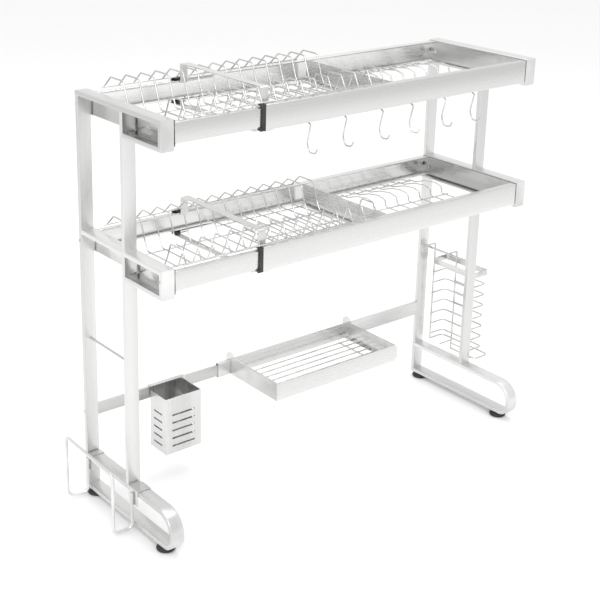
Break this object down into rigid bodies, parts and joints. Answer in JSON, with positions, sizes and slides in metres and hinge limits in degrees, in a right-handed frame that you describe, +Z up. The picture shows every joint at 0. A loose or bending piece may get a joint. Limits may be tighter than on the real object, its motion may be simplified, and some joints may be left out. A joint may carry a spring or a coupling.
{
  "type": "dish drying rack",
  "caption": "Two-tier over-sink dish drying rack of flat steel tube with wire plate and bowl racks, hooks, cutlery cup, soap tray, board rack and lid hoop.",
  "frame": {"origin": "on the floor plane under the feet, at the centre of the bounding box", "axes": "+X to the right along the trays, +Y to the back, +Z up"},
  "size_m": [1.0507, 0.32, 0.8635],
  "materials": {
    "steel_tube": "brushed stainless tube",
    "sheet_steel": "brushed stainless sheet",
    "wire": "polished stainless wire",
    "bolts": "polished",
    "black_plastic": "moulded matt",
    "rubber": "moulded matt"
  },
  "bodies": {
    "right_half": {"right_back_post": "steel_tube", "right_lower_mid_post": "steel_tube", "right_upper_mid_post": "steel_tube", "right_upper_loop": "steel_tube", "right_lower_loop": "steel_tube", "right_foot_loop": "steel_tube", "right_tie_rod": "wire", "right_bolts": "bolts", "stretcher_sleeve": "steel_tube", "upper_front_sleeve": "sheet_steel", "upper_back_sleeve": "sheet_steel", "upper_right_end_wall": "sheet_steel", "upper_divider": "sheet_steel", "upper_guide_bushes": "black_plastic", "upper_bridge_strap": "sheet_steel", "upper_crossbar": "sheet_steel", "upper_cup_rack": "wire", "lower_front_sleeve": "sheet_steel", "lower_back_sleeve": "sheet_steel", "lower_right_end_wall": "sheet_steel", "lower_divider": "sheet_steel", "lower_guide_bushes": "black_plastic", "lower_bridge_strap": "sheet_steel", "lower_crossbar": "sheet_steel", "lower_cup_rack": "wire"},
    "left_half": {"left_back_post": "steel_tube", "left_lower_mid_post": "steel_tube", "left_upper_mid_post": "steel_tube", "left_upper_loop": "steel_tube", "left_lower_loop": "steel_tube", "left_foot_loop": "steel_tube", "left_tie_rod": "wire", "left_bolts": "bolts", "stretcher_tube": "steel_tube", "upper_front_rail": "sheet_steel", "upper_back_rail": "sheet_steel", "upper_left_end_wall": "sheet_steel", "lower_front_rail": "sheet_steel", "lower_back_rail": "sheet_steel", "lower_left_end_wall": "sheet_steel"},
    "left_front_foot": {"left_front_foot": "rubber"},
    "left_back_foot": {"left_back_foot": "rubber"},
    "right_front_foot": {"right_front_foot": "rubber"},
    "right_back_foot": {"right_back_foot": "rubber"},
    "upper_plate_rack": {"upper_plate_rack": "wire"},
    "upper_bowl_rack": {"upper_bowl_rack": "wire"},
    "lower_plate_rack": {"lower_plate_rack": "wire"},
    "lower_bowl_rack": {"lower_bowl_rack": "wire"},
    "hook_1": {"hook_1": "wire"},
    "hook_2": {"hook_2": "wire"},
    "hook_3": {"hook_3": "wire"},
    "hook_4": {"hook_4": "wire"},
    "hook_5": {"hook_5": "wire"},
    "hook_6": {"hook_6": "wire"},
    "utensil_cup": {"utensil_cup": "sheet_steel"},
    "soap_tray": {"soap_tray_frame": "sheet_steel", "soap_tray_grid": "wire"},
    "board_rack": {"board_rack": "wire"},
    "lid_hoop": {"lid_hoop": "wire"}
  },
  "joints": [
    {"name": "width_slide", "type": "slide", "parent": "right_half", "child": "left_half", "axis": [1, 0, 0], "range_m": [-0.06, 0.014]},
    {"name": "left_front_foot_turn", "type": "hinge", "parent": "left_half", "child": "left_front_foot", "pos_m": [-0.461, -0.118, 0.005], "axis": [0, 0, 1], "range_deg": [-180, 180]},
    {"name": "left_back_foot_turn", "type": "hinge", "parent": "left_half", "child": "left_back_foot", "pos_m": [-0.461, 0.133, 0.005], "axis": [0, 0, 1], "range_deg": [-180, 180]},
    {"name": "right_front_foot_turn", "type": "hinge", "parent": "right_half", "child": "right_front_foot", "pos_m": [0.461, -0.118, 0.005], "axis": [0, 0, 1], "range_deg": [-180, 180]},
    {"name": "right_back_foot_turn", "type": "hinge", "parent": "right_half", "child": "right_back_foot", "pos_m": [0.461, 0.133, 0.005], "axis": [0, 0, 1], "range_deg": [-180, 180]},
    {"name": "upper_plate_rack_lift", "type": "slide", "parent": "right_half", "child": "upper_plate_rack", "axis": [0, 0, 1], "range_m": [0, 0.05]},
    {"name": "upper_bowl_rack_lift", "type": "slide", "parent": "right_half", "child": "upper_bowl_rack", "axis": [0, 0, 1], "range_m": [0, 0.03]},
    {"name": "lower_plate_rack_lift", "type": "slide", "parent": "right_half", "child": "lower_plate_rack", "axis": [0, 0, 1], "range_m": [0, 0.05]},
    {"name": "lower_bowl_rack_lift", "type": "slide", "parent": "right_half", "child": "lower_bowl_rack", "axis": [0, 0, 1], "range_m": [0, 0.03]},
    {"name": "hook_1_slide", "type": "slide", "parent": "right_half", "child": "hook_1", "axis": [1, 0, 0], "range_m": [-0.02, 0.03]},
    {"name": "hook_2_slide", "type": "slide", "parent": "right_half", "child": "hook_2", "axis": [1, 0, 0], "range_m": [-0.03, 0.03]},
    {"name": "hook_3_slide", "type": "slide", "parent": "right_half", "child": "hook_3", "axis": [1, 0, 0], "range_m": [-0.03, 0.01]},
    {"name": "hook_4_slide", "type": "slide", "parent": "right_half", "child": "hook_4", "axis": [1, 0, 0], "range_m": [-0.03, 0.03]},
    {"name": "hook_5_slide", "type": "slide", "parent": "right_half", "child": "hook_5", "axis": [1, 0, 0], "range_m": [-0.03, 0.03]},
    {"name": "hook_6_slide", "type": "slide", "parent": "right_half", "child": "hook_6", "axis": [1, 0, 0], "range_m": [-0.03, 0.03]},
    {"name": "cup_slide", "type": "slide", "parent": "left_half", "child": "utensil_cup", "axis": [1, 0, 0], "range_m": [-0.11, 0.06]},
    {"name": "soap_tray_slide", "type": "slide", "parent": "right_half", "child": "soap_tray", "axis": [1, 0, 0], "range_m": [-0.03, 0.2]},
    {"name": "board_rack_lift", "type": "slide", "parent": "right_half", "child": "board_rack", "axis": [0, 0, 1], "range_m": [0, 0.04]},
    {"name": "lid_hoop_lift", "type": "slide", "parent": "left_half", "child": "lid_hoop", "axis": [0, 0, 1], "range_m": [0, 0.05]}
  ]
}
